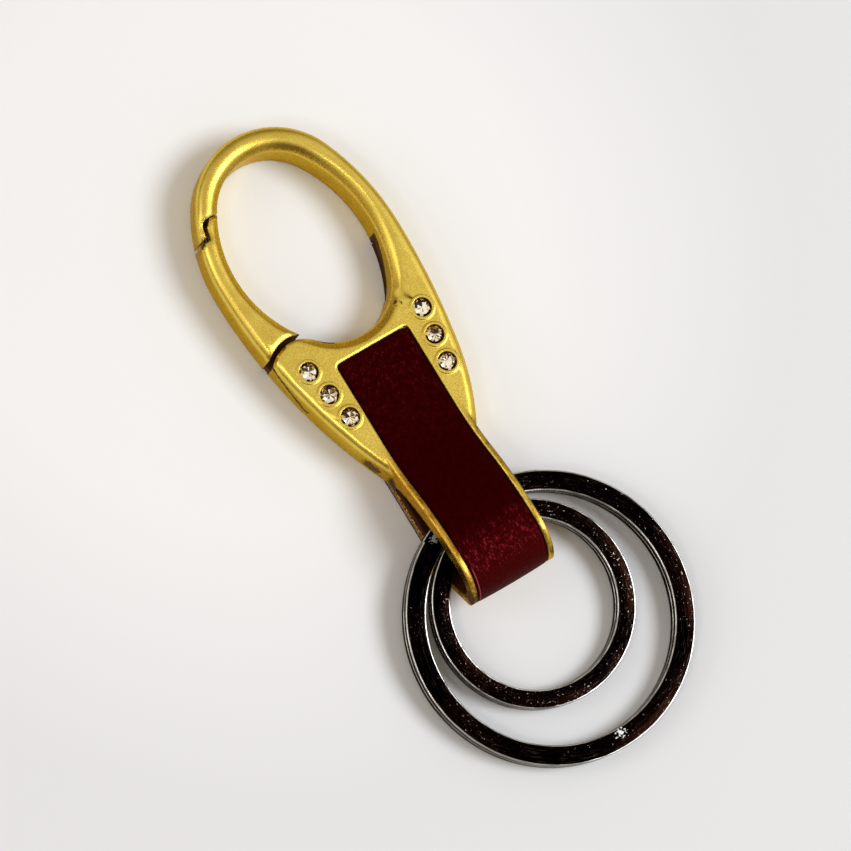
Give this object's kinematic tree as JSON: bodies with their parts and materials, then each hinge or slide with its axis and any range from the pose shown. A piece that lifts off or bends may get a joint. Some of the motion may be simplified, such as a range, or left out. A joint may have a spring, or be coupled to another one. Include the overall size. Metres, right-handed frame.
{
  "type": "spring hook keychain",
  "caption": "Gold spring hook keychain with clear stones, a dark red leather strap loop and split rings in dark metal.",
  "frame": {"origin": "on the back face, below the middle of the leather's top edge", "axes": "+Y to the top of the hook, +Z out of the front, +X to the right seen from the front"},
  "size_m": [0.035, 0.0849, 0.0095],
  "materials": {
    "gold": "satin plating, worn along the edges",
    "leather": "fine grained, slightly glossy, dark red",
    "crystal": "cut and clear over a foiled back",
    "gunmetal": "black nickel, polished and finely scratched",
    "steel": "plain bright wire and pins"
  },
  "bodies": {
    "body": {"frame": "gold", "gate_pin": "steel", "gate_spring": "steel", "leather_inlay": "leather", "crystal_left_1": "crystal", "crystal_left_2": "crystal", "crystal_left_3": "crystal", "crystal_right_1": "crystal", "crystal_right_2": "crystal", "crystal_right_3": "crystal", "ring_gate_pin": "steel", "ring_gate_spring": "steel"},
    "hook_gate": {"hook_gate": "gold"},
    "ring_gate": {"ring_gate": "gold"},
    "big_ring": {"big_ring": "gunmetal"},
    "small_ring": {"small_ring": "gunmetal"}
  },
  "joints": [
    {"name": "hook_gate_hinge", "type": "hinge", "parent": "body", "child": "hook_gate", "pos_m": [-0.0082, 0.0009, 0.003], "axis": [0, 0, -1], "range_deg": [0, 35], "stiffness_Nm_per_rad": 0.01, "springref_deg": -28.65, "deforming": ["gate_spring"]},
    {"name": "ring_gate_hinge", "type": "hinge", "parent": "body", "child": "ring_gate", "pos_m": [0, -0.0137, 0.002], "axis": [-1, 0, 0], "range_deg": [0, 5], "stiffness_Nm_per_rad": 0.01, "springref_deg": -22.92, "deforming": ["ring_gate_spring"]},
    {"name": "big_ring_swing", "type": "hinge", "parent": "ring_gate", "child": "big_ring", "pos_m": [0, -0.02148, 0.0027], "axis": [-1, 0, 0], "range_deg": [0, 22]},
    {"name": "small_ring_swing", "type": "hinge", "parent": "ring_gate", "child": "small_ring", "pos_m": [0, -0.02447, 0.00401], "axis": [-1, 0, 0], "range_deg": [0, 35]}
  ]
}
